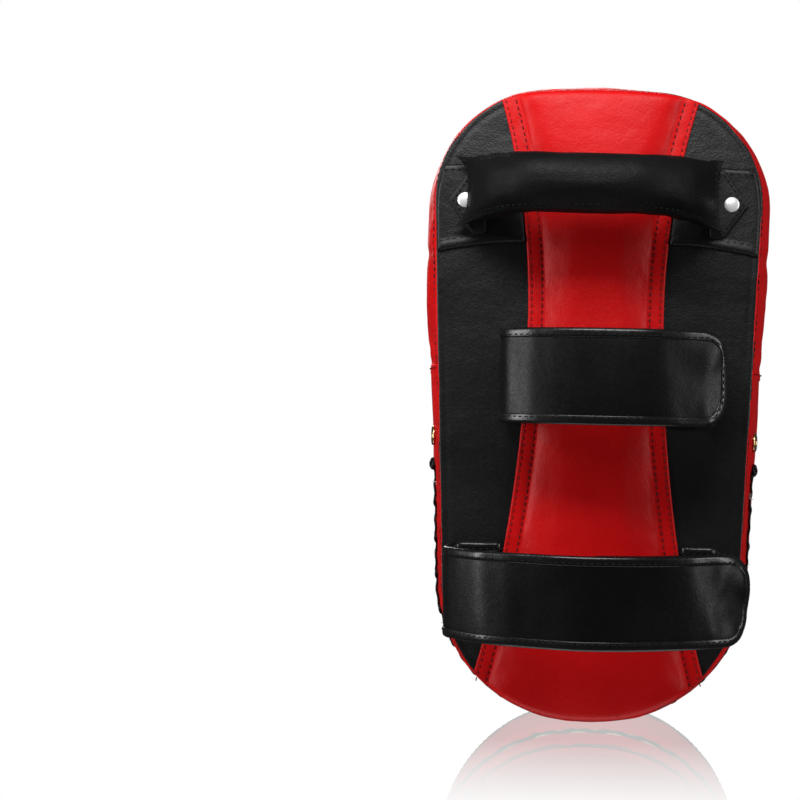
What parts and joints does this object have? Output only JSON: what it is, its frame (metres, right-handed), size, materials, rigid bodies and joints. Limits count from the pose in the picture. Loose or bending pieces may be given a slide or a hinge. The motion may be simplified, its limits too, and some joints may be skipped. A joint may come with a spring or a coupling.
{
  "type": "thai pad",
  "caption": "Curved kick pad worn on the forearm: hollow striking face, laced side wall, padded forearm band, stuffed handle and hook-and-loop straps.",
  "frame": {"origin": "centre of the forearm channel: on the outer surface of the back panel, in the middle of its width and height", "axes": "+Z along the pad towards the handle end, +Y out of the back through to the striking face, +X across the pad, to the right of a viewer who looks at the straps"},
  "size_m": [0.207, 0.1754, 0.387],
  "materials": {
    "face_leather": "satin black synthetic leather, fine grain",
    "gusset_leather": "satin red synthetic leather",
    "band_leather": "satin red synthetic leather",
    "back_leather": "satin black synthetic leather",
    "handle_leather": "matt black pebbled synthetic leather",
    "strap_leather": "smooth black synthetic leather",
    "binding_vinyl": "glossy black folded binding",
    "hook_tape": "black moulded hooks on woven tape",
    "loop_tape": "black napped loops on woven tape",
    "lace_leather": "flat black lace",
    "dense_foam": "dense closed-cell foam",
    "soft_foam": "soft open-cell foam",
    "brass": "polished brass",
    "plated_steel": "bright nickel-plated steel"
  },
  "bodies": {
    "pad": {"striking_face_cover": "face_leather", "upper_gusset": "gusset_leather", "lower_gusset": "gusset_leather", "gusset_lace": "lace_leather", "vent_eyelets": "brass", "vent_eyelet_washers": "brass", "back_panel": "back_leather", "back_foam": "soft_foam", "core_foam": "soft_foam", "face_foam": "dense_foam", "forearm_band": "band_leather", "forearm_padding": "soft_foam", "handle_base_left": "back_leather", "handle_base_right": "back_leather", "handle_tab_left": "handle_leather", "handle_tab_right": "handle_leather", "handle_rivets": "plated_steel", "handle_rivet_washers": "plated_steel", "handle_grip_cover": "handle_leather", "handle_grip_core": "dense_foam", "upper_left_strap_root": "strap_leather", "upper_right_strap_root": "strap_leather", "lower_left_strap_root": "strap_leather", "lower_right_strap_root": "strap_leather"},
    "upper_outer_flap": {"upper_outer_strap": "strap_leather", "upper_outer_strap_binding": "binding_vinyl", "upper_hook_patch": "hook_tape"},
    "upper_inner_flap": {"upper_inner_strap": "strap_leather", "upper_inner_strap_binding": "binding_vinyl", "upper_loop_patch": "loop_tape"},
    "lower_outer_flap": {"lower_outer_strap": "strap_leather", "lower_outer_strap_binding": "binding_vinyl", "lower_hook_patch": "hook_tape"},
    "lower_inner_flap": {"lower_inner_strap": "strap_leather", "lower_inner_strap_binding": "binding_vinyl", "lower_loop_patch": "loop_tape"}
  },
  "joints": [
    {"name": "upper_outer_flap_open", "type": "hinge", "parent": "pad", "child": "upper_outer_flap", "pos_m": [-0.0515, -0.02, 0.016], "axis": [0, 0, -1], "range_deg": [0, 115]},
    {"name": "upper_inner_flap_open", "type": "hinge", "parent": "pad", "child": "upper_inner_flap", "pos_m": [0.068, -0.02, 0.016], "axis": [0, 0, 1], "range_deg": [0, 46]},
    {"name": "lower_outer_flap_open", "type": "hinge", "parent": "pad", "child": "lower_outer_flap", "pos_m": [-0.082, -0.02, -0.108], "axis": [0, 0, -1], "range_deg": [0, 115]},
    {"name": "lower_inner_flap_open", "type": "hinge", "parent": "pad", "child": "lower_inner_flap", "pos_m": [0.076, -0.02, -0.108], "axis": [0, 0, 1], "range_deg": [0, 46]}
  ],
  "couplings": [
    {"joint": "upper_inner_flap_open", "follows": "upper_outer_flap_open", "ratio": 0.4},
    {"joint": "lower_inner_flap_open", "follows": "lower_outer_flap_open", "ratio": 0.4}
  ]
}
